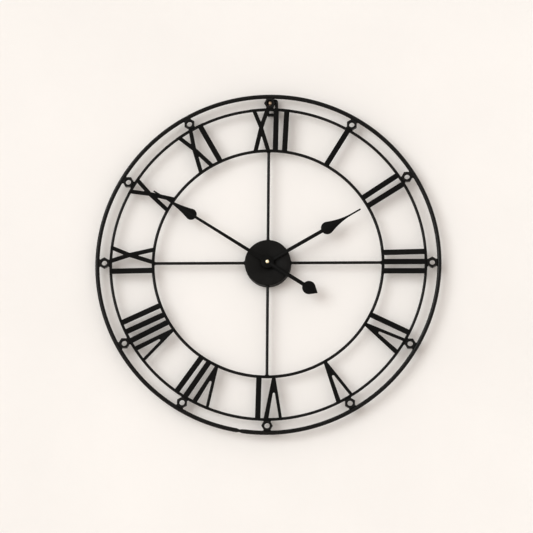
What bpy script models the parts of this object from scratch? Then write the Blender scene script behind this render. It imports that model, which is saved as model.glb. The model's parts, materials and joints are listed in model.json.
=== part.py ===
"""Skeleton wall clock: an open welded iron frame, and a quartz movement in its hub.

World frame: metres, +Z up, the dial faces -Y. The origin is on the wall, where the hanging screw comes
out of it, just under the top bar of the hanger loop.

Every sub-part is drawn in the dial's own frame, in millimetres: x to the right, y up, z out from the
wall, with the hand axis at x = y = 0. An empty, dial_centre, carries that frame into the world. Heights
such as RING_BACK are distances from the wall.
"""

import math

import bmesh
import bpy
from mathutils import Matrix, Vector
from mathutils.geometry import delaunay_2d_cdt

MM = 0.001
TOUCH = 0.3  # gap between two pieces that touch
HOURS = 12

# ---- Hanging: where the hand axis lies, seen from the screw that the clock hangs on
HAND_AXIS_X = -2.3
HAND_AXIS_UP = -287.75

# ---- Frame: three rings of round rod, their backs in one plane, as they lie on the welding table
RING_BACK = 12.5
OUTER_RADIUS, OUTER_ROD = 296.3, 3.7
MIDDLE_RADIUS, MIDDLE_ROD = 273.1, 2.5
INNER_RADIUS, INNER_ROD = 199.3, 2.6
RING_STEPS = 120
ROD_SIDES = 8
SPOKE_ROD = 2.6
SPOKE_SIDES = 10
SPOKE_HEIGHT = RING_BACK + INNER_ROD

# ---- Hexagon nuts between the two outer rings, flats towards the rings
NUT_ACROSS_FLATS = 16.8
NUT_BORE_RADIUS = 4.75
NUT_BORE_STEPS = 14
NUT_THICKNESS = 8.0
NUT_CIRCLE = 284.05
# how far each nut sits from its hour, in degrees clockwise, from the hand welding
NUT_DRIFT = {
    1: 0.65, 2: -2.05, 3: 0.1, 4: 0.1, 5: -0.2, 6: -0.2,
    7: 0.8, 8: 0.35, 9: 0.15, 10: 0.55, 11: 0.7, 12: 0.25,
}

# ---- Numerals: one sheet plate each, lapped over the fronts of the middle and inner rings
PLATE_BACK = RING_BACK + 2 * MIDDLE_ROD + TOUCH
PLATE_THICKNESS = 2.0
WEB_WIDTH = 3.0  # the arc at each end of a plate that joins its strokes
WEB_END = 2.5  # how far a web runs past its outermost stroke
WEB_STEP = 3.0  # degrees
LETTER_HEIGHT = 236.0  # radius at which a letter's offset is measured
BAR_WIDTH = 9.0
CROSS_HEIGHT = 240.0  # radius at which the strokes of an X cross
CROSS_WIDTH = 7.15
CROSS_UPPER_SLOPE, CROSS_LOWER_SLOPE = 0.369, 0.268
CROSS_FILLET = 0.8
VEE_FOOT = 206.0
VEE_FOOT_HALF = 3.75
VEE_SLOPE = 0.182
VEE_THIN = 5.2
VEE_THICK, VEE_THICK_HEIGHT, VEE_THICK_GROWTH = 6.5, 230.0, 0.0368
VEE_FILLET = 2.1
# each letter: its shape, its offset clockwise from the hour line in mm, and its clockwise lean in degrees
NUMERALS = {
    1: [("I", 1.7, 1.3)],
    2: [("I", -18.7, -3.6), ("I", -0.9, -2.2)],
    3: [("I", -17.7, -1.3), ("I", -0.8, 0.0), ("I", 15.4, 0.2)],
    4: [("I", -12.1, -4.4), ("V", 11.4, 3.0)],
    5: [("V", 1.7, 1.9)],
    6: [("V", -11.5, 0.9), ("I", 14.2, 1.2)],
    7: [("V", -20.8, -7.5), ("I", 1.8, 4.0), ("I", 18.3, 5.5)],
    8: [("V", -24.5, -6.3), ("I", -2.3, 3.0), ("I", 14.0, 5.3), ("I", 31.7, 5.4)],
    9: [("I", -13.5, -1.0), ("X", 14.3, 2.7)],
    10: [("X", 3.2, -2.0)],
    11: [("X", -11.4, -1.9), ("I", 17.6, 0.3)],
    12: [("X", -13.1, -2.4), ("I", 12.4, 0.9), ("I", 29.7, 2.7)],
}

# ---- Hanger: a closed loop of rod behind the XII nut
LOOP_ROD = 2.8
LOOP_LEFT, LOOP_RIGHT = -2.7, 12.7
LOOP_TOP = -HAND_AXIS_UP + LOOP_ROD
LOOP_BOTTOM = 264.9
LOOP_CORNER = 3.0
LOOP_HEIGHT = RING_BACK - TOUCH - LOOP_ROD

# ---- Hub pan: a pressed disc with a deep rim whose edge rests on the wall
PAN_RADIUS = 40.0
PAN_SHEET = 1.2
PAN_FRONT = 20.0
PAN_EDGE = 1.6  # radius of the rim's bend
PAN_HOLE = 4.2
PAN_STEPS = 48
PAN_BEND_SHARE = 0.3  # where the bend's middle point lies, as a share of its radius

# ---- Movement case: two shells, split at CASE_SPLIT
CASE_SIDE = 56.0
CASE_CORNER = 4.0
CASE_WALL = 1.4
CASE_SKIN = 1.2
CASE_BACK, CASE_FRONT = 1.9, 17.9
CASE_SPLIT = 9.8
INNER_BACK, INNER_FRONT = CASE_BACK + CASE_SKIN, CASE_FRONT - CASE_SKIN
PIVOT_DEPTH = 0.5
POST_RADIUS, MOTION_POST_RADIUS = 1.3, 0.7
MOTION_POST_LOW = 12.6

# ---- Train plate, held on posts of the front case
PLATE_LOW, PLATE_HIGH = 10.4, 11.0
PLATE_LEFT, PLATE_RIGHT, PLATE_BOTTOM, PLATE_TOP = -18.5, 16.2, -8.6, 18.2
PLATE_POSTS = ((-16.5, -6.8), (14.3, -6.8), (-16.5, 16.3))
PLATE_THIRD_HOLE = 1.7  # the third wheel's leaves pass through it

# ---- Circuit board, held on posts of the back case, with a blob-topped chip and a can crystal
BOARD_LOW, BOARD_HIGH = 5.0, 5.8
BOARD_LEFT, BOARD_RIGHT, BOARD_BOTTOM, BOARD_TOP = -21.0, 20.0, 18.3, 25.8
BOARD_POSTS = ((-17.5, 22.0), (16.5, 22.0))
BOARD_GAP = 0.1  # under what is soldered to it
CHIP_AT, CHIP_RADIUS, CHIP_TOP_RADIUS, CHIP_STEP = (-4.0, 22.0), 2.3, 1.6, 0.5
CRYSTAL_AT, CRYSTAL_RADIUS, CRYSTAL_HALF = (-11.0, 22.0), 1.0, 3.0

# ---- Motor: a stator of two arms about the rotor, and a coil between their ends
STATOR_ARM_LEFT, STATOR_ARM_RIGHT = 8.4, 13.4
STATOR_LOW, STATOR_HIGH = -8.8, 20.0
STATOR_BAR = 3.5
STATOR_END = 23.0
STATOR_BACK, STATOR_FRONT = 9.0, 9.8
STATOR_RING, STATOR_BORE = 4.6, 3.4
COIL_X, COIL_FLANGE, COIL_WINDING, COIL_FLANGE_THICKNESS = 21.0, 3.9, 3.4, 1.0
MAGNET_RADIUS, MAGNET_BACK, MAGNET_FRONT = 3.0, 8.2, 10.2

# ---- Battery bay across the bottom of the case
BAY_TOP_LOW, BAY_TOP_HIGH = -11.0, -10.0  # the wall between the battery and the train
BAY_WALL_HALF = 25.4
BAY_BOTTOM = -25.9
BATTERY_RADIUS, BATTERY_HALF = 7.15, 25.2
BATTERY_UP, BATTERY_HEIGHT = -18.5, 9.4
BATTERY_CHAMFER = 0.8
BUTTON_RADIUS, BUTTON_LENGTH = 2.6, 1.3
CONTACT_INSIDE, CONTACT_THICKNESS = 25.9, 0.4
CONTACT_TOP, CONTACT_BELOW = 21.0, 4.0  # a strip's upper end, and how far it runs below the battery's axis
TAB_INSIDE, TAB_BOTTOM, TAB_THICKNESS = 19.2, 19.5, 0.4
LEAF_LOW, LEAF_HIGH = 7.0, 11.5
LEAF_HALVES = {"positive": 2.4, "negative": 3.9}

# ---- Arbors, seen from the front, as directions in degrees anticlockwise from 3 o'clock
THIRD_DIRECTION = 140.0
STEP_DIRECTION = 30.0
ROTOR_DIRECTION = 20.0  # from the step arbor
MOTION_DIRECTION = 60.0
KNOB_DIRECTION = 100.0  # from the motion arbor

# ---- Train: teeth and modules
ROTOR_LEAVES, STEP_TEETH, STEP_MODULE = 8, 48, 0.2
STEP_LEAVES, SECONDS_TEETH, SECONDS_MODULE = 8, 40, 0.27
SECONDS_LEAVES, THIRD_TEETH = 8, 60
THIRD_LEAVES, CENTRE_TEETH, CENTRE_MODULE = 8, 64, 0.27
CANNON_LEAVES, MOTION_TEETH, CANNON_MODULE = 12, 36, 0.32
MOTION_LEAVES, HOUR_TEETH = 10, 40
KNOB_LEAVES = 12

THIRD_DISTANCE = CENTRE_MODULE * (CENTRE_TEETH + THIRD_LEAVES) / 2
THIRD_MODULE = 2 * THIRD_DISTANCE / (THIRD_TEETH + SECONDS_LEAVES)
STEP_DISTANCE = SECONDS_MODULE * (SECONDS_TEETH + STEP_LEAVES) / 2
ROTOR_DISTANCE = STEP_MODULE * (STEP_TEETH + ROTOR_LEAVES) / 2
MOTION_DISTANCE = CANNON_MODULE * (CANNON_LEAVES + MOTION_TEETH) / 2
HOUR_MODULE = 2 * MOTION_DISTANCE / (MOTION_LEAVES + HOUR_TEETH)
KNOB_DISTANCE = CANNON_MODULE * (MOTION_TEETH + KNOB_LEAVES) / 2

TOOTH_SHARE = 0.40  # of the pitch, the rest being space
ADDENDUM, DEDENDUM = 0.80, 1.15  # in modules
PRESSURE_ANGLE = math.radians(20)

# ---- Arbor and pipe radii
ARBOR, PIVOT_HOLE = 0.4, 0.6
CANNON_NECK, MINUTE_ARBOR, MINUTE_THREAD = 1.45, 1.6, 1.2
HOUR_PIPE, HOUR_PIPE_BORE = 2.5, 1.9
MOTION_BORE = 0.9
KNOB_SHAFT, KNOB_RADIUS, KNOB_RIDGES, KNOB_RIDGE_DEPTH, KNOB_PIVOT = 1.2, 5.5, 20, 0.4, 0.6

# ---- Heights from the wall of what turns: the back of each wheel, where its leaves start and end
PIVOT_BACK = INNER_BACK - PIVOT_DEPTH + 0.15  # the arbors' ends in the back case
PLATE_PIVOT = PLATE_HIGH - 0.1  # and in the train plate
CASE_PIVOT = INNER_FRONT + PIVOT_DEPTH - 0.1  # and in the front case
ROTOR_LEAVES_BACK, ROTOR_LEAVES_FRONT = 5.6, 7.1
STEP_WHEEL_BACK, STEP_LEAVES_BACK, STEP_LEAVES_FRONT = 6.0, 6.7, 8.8
SECONDS_WHEEL_BACK, SECONDS_LEAVES_BACK, SECONDS_LEAVES_FRONT, SECONDS_TIP = 7.6, 8.4, 10.25, 20.0
THIRD_WHEEL_BACK, THIRD_LEAVES_BACK, THIRD_LEAVES_FRONT = 9.4, 10.2, 12.5
CENTRE_WHEEL_BACK, CENTRE_WHEEL_FRONT = 11.2, 12.2
CANNON_BACK, CANNON_FRONT = 12.8, 14.2
MINUTE_BORE_END, MINUTE_SEAT_END, MINUTE_THREAD_END = 24.0, 26.8, 29.0
MOTION_WHEEL_BACK, MOTION_LEAVES_BACK, MOTION_LEAVES_FRONT = 13.0, 14.0, 15.8
HOUR_WHEEL_BACK, HOUR_WHEEL_FRONT, HOUR_PIPE_END = 14.6, 15.6, 24.9
KNOB_BACK, KNOB_FRONT, KNOB_LEAVES_BACK, KNOB_LEAVES_FRONT = 0.4, 1.7, 12.9, 14.1

# ---- Centre fixing: a threaded bush through the pan, with a washer on each side and a locknut
BUSH_RADIUS, BUSH_BORE, BUSH_FLANGE = 3.9, 2.75, 5.5
BUSH_BACK, BUSH_SHOULDER, BUSH_FRONT = 15.9, 16.5, 23.2
WASHER_BORE = 4.2
RUBBER_RADIUS, RUBBER_GAP = 9.0, 0.15
DIAL_WASHER_RADIUS, DIAL_WASHER_BACK, DIAL_WASHER_FRONT = 7.5, 20.15, 20.75
LOCKNUT_ACROSS_FLATS, LOCKNUT_BACK, LOCKNUT_FRONT = 11.0, 20.9, 22.7

# ---- Hands: flat sheet, drawn pointing to 12; the turn is where they stand at rest, clockwise
HAND_THICKNESS = 1.2
HAND_BOSS = 11.0
HOUR_HAND_BACK, MINUTE_HAND_BACK = 23.5, 25.5
HOUR_HAND_TURN, MINUTE_HAND_TURN = 60.0, 302.4
HOUR_ROD, HOUR_BULB, HOUR_BULB_AT = 3.0, 11.0, 119.0
HOUR_NEEDLE, HOUR_NEEDLE_AT, HOUR_TIP = 1.25, 166.0, 185.5
MINUTE_ROD, MINUTE_ROD_END, MINUTE_BULB, MINUTE_BULB_AT = 3.0, 2.15, 9.8, 158.0
ROD_LAP = 5.0  # how far a hand's rod runs into the boss and the bulb
SEAT_GAP = 0.08  # between a hand's hole and its pipe
MINUTE_NEEDLE, MINUTE_NEEDLE_AT, MINUTE_TIP = 1.3, 212.0, 236.0
BULB_HOLLOW = 1.9  # how hollow the curve is from a bulb to its needle
TAIL_ROD, TAIL_LEAF, TAIL_LEAF_AT, TAIL_TIP = 3.2, 11.5, 85.0, 103.0
HAND_NUT_BACK = MINUTE_HAND_BACK + HAND_THICKNESS + 0.25
HAND_NUT_RADIUS, HAND_NUT_BORE_DEPTH, HAND_NUT_RIM, HAND_NUT_LENGTH = 3.3, 2.4, 2.0, 3.7


# ------------------------------------------------------------------ materials


def material(name, colour, roughness, metallic):
    """A Principled material, made once and then shared by name."""
    if name in bpy.data.materials:
        return bpy.data.materials[name]
    made = bpy.data.materials.new(name)
    made.use_nodes = True
    shader = made.node_tree.nodes["Principled BSDF"]
    shader.inputs["Base Color"].default_value = (*colour, 1.0)
    shader.inputs["Roughness"].default_value = roughness
    shader.inputs["Metallic"].default_value = metallic
    made.diffuse_color = (*colour, 1.0)
    return made


def black_iron():
    return material("black_iron", (0.012, 0.012, 0.011), 0.5, 0.0)


def steel():
    return material("steel", (0.55, 0.55, 0.56), 0.35, 1.0)


def brass():
    return material("brass", (0.80, 0.60, 0.25), 0.28, 1.0)


def black_plastic():
    return material("black_plastic", (0.02, 0.02, 0.022), 0.55, 0.0)


def white_plastic():
    return material("white_plastic", (0.75, 0.74, 0.70), 0.45, 0.0)


def rubber():
    return material("rubber", (0.03, 0.03, 0.03), 0.85, 0.0)


def circuit_green():
    return material("circuit_green", (0.03, 0.16, 0.06), 0.45, 0.0)


def copper():
    return material("copper", (0.60, 0.22, 0.10), 0.35, 1.0)


def ferrite():
    return material("ferrite", (0.05, 0.05, 0.05), 0.6, 0.0)


def battery_jacket():
    return material("battery_jacket", (0.10, 0.16, 0.30), 0.35, 0.0)


# ------------------------------------------------------------------ outlines, in millimetres


def polar(radius, degrees, centre=(0.0, 0.0)):
    """A point at this radius and direction, anticlockwise from +x."""
    angle = math.radians(degrees)
    return centre[0] + radius * math.cos(angle), centre[1] + radius * math.sin(angle)


def circle(radius, steps, centre=(0.0, 0.0)):
    return [polar(radius, 360 * i / steps, centre) for i in range(steps)]


def rectangle(left, right, low, high):
    return [(left, low), (right, low), (right, high), (left, high)]


def tapered(low_half, low, high_half, high):
    """A bar along y that changes width."""
    return [(-low_half, low), (low_half, low), (high_half, high), (-high_half, high)]


def rounded_square(side, corner, steps=3):
    """A square about the origin with round corners."""
    centre = side / 2 - corner
    points = []
    for quarter in range(4):
        middle = polar(centre * math.sqrt(2), 45 + 90 * quarter)
        points += [polar(corner, 90 * quarter + 90 * i / steps, middle) for i in range(steps + 1)]
    return points


def hexagon(across_flats, turn, centre=(0.0, 0.0)):
    """A hexagon with a corner in the direction turn."""
    corner = across_flats / math.sqrt(3)
    return [polar(corner, turn + 60 * i, centre) for i in range(6)]


def involute(radius, base):
    """The involute function of a point at this radius."""
    angle = math.acos(min(1.0, base / radius))
    return math.tan(angle) - angle


def gear(teeth, module, phase, centre=(0.0, 0.0)):
    """A gear's outline with a tooth in the direction phase. A pinion's flanks get a middle point."""
    pitch = module * teeth / 2
    base = pitch * math.cos(PRESSURE_ANGLE)
    root, tip = pitch - DEDENDUM * module, pitch + ADDENDUM * module
    radii = [root, tip] if teeth > 20 else [root, max(base, root), pitch, tip]
    points = []
    for tooth in range(teeth):
        middle = phase + 360 * tooth / teeth
        flank = []
        for radius in radii:
            at_pitch = TOOTH_SHARE * math.pi / teeth
            half = at_pitch + involute(pitch, base) - involute(max(radius, base), base)
            flank.append((radius, math.degrees(half)))
        points += [polar(radius, middle - half, centre) for radius, half in flank]
        points += [polar(radius, middle + half, centre) for radius, half in reversed(flank)]
    return points


def mesh_phase(phase, teeth, other_teeth, direction):
    """The phase that puts the other gear in mesh with this one, when it lies in this direction."""
    share = (phase - direction) * teeth / 360
    return direction + 180 + (0.5 - share) * 360 / other_teeth


def clockwise(point, degrees):
    """A point given as (clockwise offset, radius along the hour line), turned to its hour."""
    angle = math.radians(degrees)
    across, out = point
    return (
        across * math.cos(angle) + out * math.sin(angle),
        out * math.cos(angle) - across * math.sin(angle),
    )


# ------------------------------------------------------------------ solids from outlines


def anticlockwise(outline):
    """The outline, turned round if it runs clockwise."""
    area = sum(ax * by - bx * ay for (ax, ay), (bx, by) in zip(outline, outline[1:] + outline[:1]))
    return outline if area > 0 else outline[::-1]


def painted(layer, ids):
    """Whether a place covered by these outlines is solid: the last one that a layer paints there decides."""
    solid = False
    for index, fill in layer:
        if index in ids:
            solid = fill
    return solid


def stack(layers):
    """A solid made of flat layers. A layer is (low, high, [(outline, fill), ...]): each outline is
    painted over those before it, solid where fill is true and empty where it is false. All outlines are
    triangulated together, so the layers meet point to point."""
    outlines, indexed = [], []
    for low, high, paints in layers:
        rows = []
        for outline, fill in paints:
            if outline not in outlines:
                outlines.append(outline)
            rows.append((outlines.index(outline), fill))
        indexed.append((low, high, rows))
    outlines = [anticlockwise(outline) for outline in outlines]
    points = [Vector(point) for outline in outlines for point in outline]
    faces, first = [], 0
    for outline in outlines:
        faces.append(list(range(first, first + len(outline))))
        first += len(outline)
    flat, _, triangles, _, _, sources = delaunay_2d_cdt(points, [], faces, 1, 1e-6)

    mesh = bmesh.new()
    known = {}

    def corner(index, height):
        key = index, round(height, 6)
        if key not in known:
            known[key] = mesh.verts.new((flat[index][0] * MM, flat[index][1] * MM, height * MM))
        return known[key]

    planes = sorted({height for low, high, _ in indexed for height in (low, high)})
    spans = list(zip(planes[:-1], planes[1:]))
    filled = [
        [
            any(low <= start and end <= high and painted(rows, ids) for low, high, rows in indexed)
            for start, end in spans
        ]
        for ids in sources
    ]
    edge_owner = {}
    for number, triangle in enumerate(triangles):
        for a, b in zip(triangle, triangle[1:] + triangle[:1]):
            edge_owner[a, b] = number
    for number, triangle in enumerate(triangles):
        column = [False, *filled[number], False]
        for level, height in enumerate(planes):
            if column[level] != column[level + 1]:
                ring = [corner(index, height) for index in triangle]
                mesh.faces.new(ring if column[level] else ring[::-1])
        for a, b in zip(triangle, triangle[1:] + triangle[:1]):
            beside = edge_owner.get((b, a))
            other = filled[beside] if beside is not None else [False] * len(spans)
            for span, (start, end) in enumerate(spans):
                if filled[number][span] and not other[span]:
                    mesh.faces.new(
                        [corner(a, start), corner(b, start), corner(b, end), corner(a, end)]
                    )
    bmesh.ops.recalc_face_normals(mesh, faces=mesh.faces)
    return mesh


def sheet(low, high, solids, holes=()):
    """A flat plate: the union of some outlines, less the holes."""
    paints = [(outline, True) for outline in solids] + [(outline, False) for outline in holes]
    return stack([(low, high, paints)])


def turned(profile, steps):
    """A body turned about z from a profile of (radius, height) points. A closed profile stays off the
    axis, and an open one starts and ends on it."""
    mesh = bmesh.new()
    rings = []
    for radius, height in profile:
        if radius == 0:
            rings.append([mesh.verts.new((0, 0, height * MM))] * steps)
            continue
        rings.append(
            [mesh.verts.new((x * MM, y * MM, height * MM)) for x, y in circle(radius, steps)]
        )
    closed = profile[0][0] != 0
    pairs = list(zip(rings, rings[1:])) + ([(rings[-1], rings[0])] if closed else [])
    for lower, upper in pairs:
        for i in range(steps):
            j = (i + 1) % steps
            loop = [lower[i], lower[j], upper[j], upper[i]]
            mesh.faces.new(list(dict.fromkeys(loop)))
    bmesh.ops.recalc_face_normals(mesh, faces=mesh.faces)
    return mesh


def rod_ring(radius, rod):
    """A ring of round rod about z, its back at RING_BACK."""
    height = RING_BACK + rod
    section = [
        (radius + rod * math.cos(angle), height + rod * math.sin(angle))
        for angle in (2 * math.pi * i / ROD_SIDES for i in range(ROD_SIDES))
    ]
    return turned(section, RING_STEPS)


def rod_loop(path, rod, height):
    """Round rod along a closed flat path at this height."""
    mesh = bmesh.new()
    rings = []
    for i, point in enumerate(path):
        here = Vector(point)
        before, after = Vector(path[i - 1]), Vector(path[(i + 1) % len(path)])
        inward, outward = (here - before).normalized(), (after - here).normalized()
        along = (inward + outward).normalized()
        side = Vector((along.y, -along.x)) / along.dot(outward)
        ring = []
        for k in range(ROD_SIDES):
            angle = 2 * math.pi * k / ROD_SIDES
            place = here + side * rod * math.cos(angle)
            ring.append(mesh.verts.new((place.x * MM, place.y * MM, (height + rod * math.sin(angle)) * MM)))
        rings.append(ring)
    for ring, following in zip(rings, rings[1:] + rings[:1]):
        for k in range(ROD_SIDES):
            j = (k + 1) % ROD_SIDES
            mesh.faces.new([ring[k], ring[j], following[j], following[k]])
    bmesh.ops.recalc_face_normals(mesh, faces=mesh.faces)
    return mesh


# ------------------------------------------------------------------ objects


def clear_scene():
    for old in list(bpy.data.objects):
        bpy.data.objects.remove(old, do_unlink=True)


def make_dial_centre():
    """The frame that every sub-part is drawn in: x right, y up, z towards the viewer."""
    centre = bpy.data.objects.new("dial_centre", None)
    centre.location = (HAND_AXIS_X * MM, 0, HAND_AXIS_UP * MM)
    centre.rotation_euler = (math.radians(90), 0, 0)
    bpy.context.scene.collection.objects.link(centre)
    return centre


def place(name, shape, made_of, centre, at=(0.0, 0.0), turn=0.0, matrix=None, smooth=None):
    """Makes an object of a bmesh, with its origin on its own axis at (x, y), turned clockwise by turn
    degrees. smooth is the angle in degrees above which an edge of a round piece stays sharp."""
    if matrix is not None:
        bmesh.ops.transform(shape, matrix=matrix, verts=shape.verts)
    mesh = bpy.data.meshes.new(name)
    shape.to_mesh(mesh)
    shape.free()
    mesh.materials.append(made_of)
    if smooth:
        mesh.shade_smooth()
        mesh.set_sharp_from_angle(angle=math.radians(smooth))
    made = bpy.data.objects.new(name, mesh)
    made.parent = centre
    made.location = (at[0] * MM, at[1] * MM, 0)
    made.rotation_euler = (0, 0, -math.radians(turn))
    bpy.context.scene.collection.objects.link(made)
    return made


# ------------------------------------------------------------------ frame


def make_rings(centre):
    rings = {
        "outer_ring": (OUTER_RADIUS, OUTER_ROD),
        "middle_ring": (MIDDLE_RADIUS, MIDDLE_ROD),
        "inner_ring": (INNER_RADIUS, INNER_ROD),
    }
    for name, (radius, rod) in rings.items():
        place(name, rod_ring(radius, rod), black_iron(), centre, smooth=50)


def make_nuts(centre):
    """One nut outside each numeral, between the two outer rings, a corner pointing along them."""
    for hour in range(1, HOURS + 1):
        angle = 30 * hour + NUT_DRIFT[hour]
        shape = sheet(
            RING_BACK,
            RING_BACK + NUT_THICKNESS,
            [hexagon(NUT_ACROSS_FLATS, 0)],
            [circle(NUT_BORE_RADIUS, NUT_BORE_STEPS)],
        )
        at = clockwise((0, NUT_CIRCLE), angle)
        place(f"hex_nut_{hour}", shape, black_iron(), centre, at=at, turn=angle)


def on_circle(start, slope, radius):
    """Where the line across = start + slope * out crosses a circle about the hand axis, on the outer side."""
    a, b, c = slope**2 + 1, 2 * start * slope, start**2 - radius**2
    out = (-b + math.sqrt(b * b - 4 * a * c)) / (2 * a)
    return start + slope * out, out


def stroke(axis, width, upper_slope=0.0, lower_slope=0.0, bend=LETTER_HEIGHT):
    """A stroke from ring to ring, which may change slope at the height bend. The axis is the letter's
    own centre line, as (start, slope)."""
    start, lean = axis
    edges = []
    for side in (-width / 2, width / 2):
        edges.append(
            [
                on_circle(start + side - lower_slope * bend, lean + lower_slope, INNER_RADIUS),
                (start + side + lean * bend, bend),
                on_circle(start + side - upper_slope * bend, lean + upper_slope, MIDDLE_RADIUS),
            ]
        )
    return edges[0] + edges[1][::-1]


def notch_curve(corner, left, right, radius, steps=4):
    """The rounded bottom of a notch, from its right side to its left. Its sides leave the sharp corner
    along two unit vectors."""
    half = left.angle(right) / 2
    hub = corner + (left + right).normalized() * radius / math.sin(half)
    reach = radius / math.tan(half)
    start = corner + left * reach
    points = [start]
    for i in range(1, steps):
        spoke = start - hub
        spoke.rotate(Matrix.Rotation((math.pi - 2 * half) * i / steps, 2))
        points.append(hub + spoke)
    points.append(corner + right * reach)
    return [tuple(point) for point in reversed(points)]


def bar(axis):
    return [stroke(axis, BAR_WIDTH)]


def cross(axis):
    """An X: two strokes that cross, with its upper and lower notches rounded."""
    outlines = [
        stroke(axis, CROSS_WIDTH, side * CROSS_UPPER_SLOPE, side * CROSS_LOWER_SLOPE, CROSS_HEIGHT)
        for side in (-1, 1)
    ]
    start, lean = axis
    for way, slope in ((1, CROSS_UPPER_SLOPE), (-1, CROSS_LOWER_SLOPE)):
        height = CROSS_HEIGHT + way * CROSS_WIDTH / 2 / slope
        corner = Vector((start + lean * height, height))
        sides = [Vector((way * (lean + side * slope), way)).normalized() for side in (-1, 1)]
        waist = (start + lean * CROSS_HEIGHT, CROSS_HEIGHT)
        outlines.append([waist, *notch_curve(corner, *sides, CROSS_FILLET)])
    return outlines


def vee(axis):
    """A V: a thin stroke on the anticlockwise side, a thick one on the other, and a rounded notch."""
    start, lean = axis
    foot = VEE_FOOT_HALF - VEE_SLOPE * VEE_FOOT
    thick = VEE_THICK - VEE_THICK_GROWTH * VEE_THICK_HEIGHT
    left, left_slope = start - foot, lean - VEE_SLOPE
    right, right_slope = start + foot, lean + VEE_SLOPE
    thin_edge, thin_slope = left + VEE_THIN, left_slope
    thick_edge, thick_slope = right - thick, right_slope - VEE_THICK_GROWTH
    height = (thin_edge - thick_edge) / (thick_slope - thin_slope)
    notch = notch_curve(
        Vector((thin_edge + thin_slope * height, height)),
        Vector((thin_slope, 1)).normalized(),
        Vector((thick_slope, 1)).normalized(),
        VEE_FILLET,
    )
    return [
        [
            on_circle(left, left_slope, INNER_RADIUS),
            on_circle(right, right_slope, INNER_RADIUS),
            on_circle(right, right_slope, MIDDLE_RADIUS),
            on_circle(thick_edge, thick_slope, MIDDLE_RADIUS),
            *notch,
            on_circle(thin_edge, thin_slope, MIDDLE_RADIUS),
            on_circle(left, left_slope, MIDDLE_RADIUS),
        ]
    ]


def web(outlines, radius):
    """The arc of plate that laps a ring and joins the ends of the strokes on it."""
    ends = [
        math.degrees(math.atan2(across, out))
        for outline in outlines
        for across, out in outline
        if abs(math.hypot(across, out) - radius) < 0.01
    ]
    past = math.degrees(WEB_END / radius)
    first, last = min(ends) - past, max(ends) + past
    steps = max(2, math.ceil((last - first) / WEB_STEP))
    angles = [first + (last - first) * i / steps for i in range(steps + 1)]
    low, high = radius - WEB_WIDTH / 2, radius + WEB_WIDTH / 2
    return [clockwise((0, low), angle) for angle in angles] + [
        clockwise((0, high), angle) for angle in reversed(angles)
    ]


def make_numerals(centre):
    letters = {"I": bar, "V": vee, "X": cross}
    for hour, text in NUMERALS.items():
        outlines = []
        for letter, offset, lean in text:
            slope = math.tan(math.radians(lean))
            outlines += letters[letter]((offset - slope * LETTER_HEIGHT, slope))
        outlines += [web(outlines, MIDDLE_RADIUS), web(outlines, INNER_RADIUS)]
        placed = [[clockwise(point, 30 * hour) for point in outline] for outline in outlines]
        shape = sheet(PLATE_BACK, PLATE_BACK + PLATE_THICKNESS, placed)
        place(f"numeral_{hour}", shape, black_iron(), centre)


def make_spokes(centre):
    inner, outer = PAN_RADIUS + TOUCH, INNER_RADIUS - INNER_ROD - TOUCH
    for name, turn in (("top", 0), ("right", 90), ("bottom", 180), ("left", 270)):
        shape = bmesh.new()
        bmesh.ops.create_cone(
            shape,
            cap_ends=True,
            segments=SPOKE_SIDES,
            radius1=SPOKE_ROD * MM,
            radius2=SPOKE_ROD * MM,
            depth=(outer - inner) * MM,
            matrix=Matrix.Translation((0, (inner + outer) / 2 * MM, SPOKE_HEIGHT * MM))
            @ Matrix.Rotation(math.radians(-90), 4, "X"),
        )
        place(f"spoke_{name}", shape, black_iron(), centre, turn=turn, smooth=50)


def make_hanger(centre):
    corners = [
        (LOOP_RIGHT, LOOP_TOP),
        (LOOP_LEFT, LOOP_TOP),
        (LOOP_LEFT, LOOP_BOTTOM),
        (LOOP_RIGHT, LOOP_BOTTOM),
    ]
    insets = [(-1, -1), (1, -1), (1, 1), (-1, 1)]
    path = []
    for quarter, ((x, y), (inset_x, inset_y)) in enumerate(zip(corners, insets)):
        middle = (x + inset_x * LOOP_CORNER, y + inset_y * LOOP_CORNER)
        path += [polar(LOOP_CORNER, 90 * quarter + 30 * i, middle) for i in range(4)]
    place("hanger_loop", rod_loop(path, LOOP_ROD, LOOP_HEIGHT), black_iron(), centre, smooth=50)


def make_hub_pan(centre):
    inner_edge = PAN_EDGE - PAN_SHEET
    bend = [
        (PAN_RADIUS - PAN_EDGE, PAN_FRONT),
        (PAN_RADIUS - PAN_EDGE * PAN_BEND_SHARE, PAN_FRONT - PAN_EDGE * PAN_BEND_SHARE),
        (PAN_RADIUS, PAN_FRONT - PAN_EDGE),
    ]
    inside = PAN_RADIUS - PAN_SHEET
    profile = [
        (PAN_HOLE, PAN_FRONT),
        *bend,
        (PAN_RADIUS, 0),
        (inside, 0),
        (inside, PAN_FRONT - PAN_SHEET - inner_edge),
        (inside - inner_edge, PAN_FRONT - PAN_SHEET),
        (PAN_HOLE, PAN_FRONT - PAN_SHEET),
    ]
    place("hub_pan", turned(profile, PAN_STEPS), black_iron(), centre, smooth=30)


# ------------------------------------------------------------------ movement: where its arbors are


def arbors():
    """Each arbor's place in the dial's frame."""
    third = polar(THIRD_DISTANCE, THIRD_DIRECTION)
    step = polar(STEP_DISTANCE, STEP_DIRECTION)
    motion = polar(MOTION_DISTANCE, MOTION_DIRECTION)
    return {
        "centre": (0.0, 0.0),
        "third": third,
        "step": step,
        "rotor": polar(ROTOR_DISTANCE, ROTOR_DIRECTION, step),
        "motion": motion,
        "knob": polar(KNOB_DISTANCE, KNOB_DIRECTION, motion),
    }


# ------------------------------------------------------------------ movement: what stands still


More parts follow.
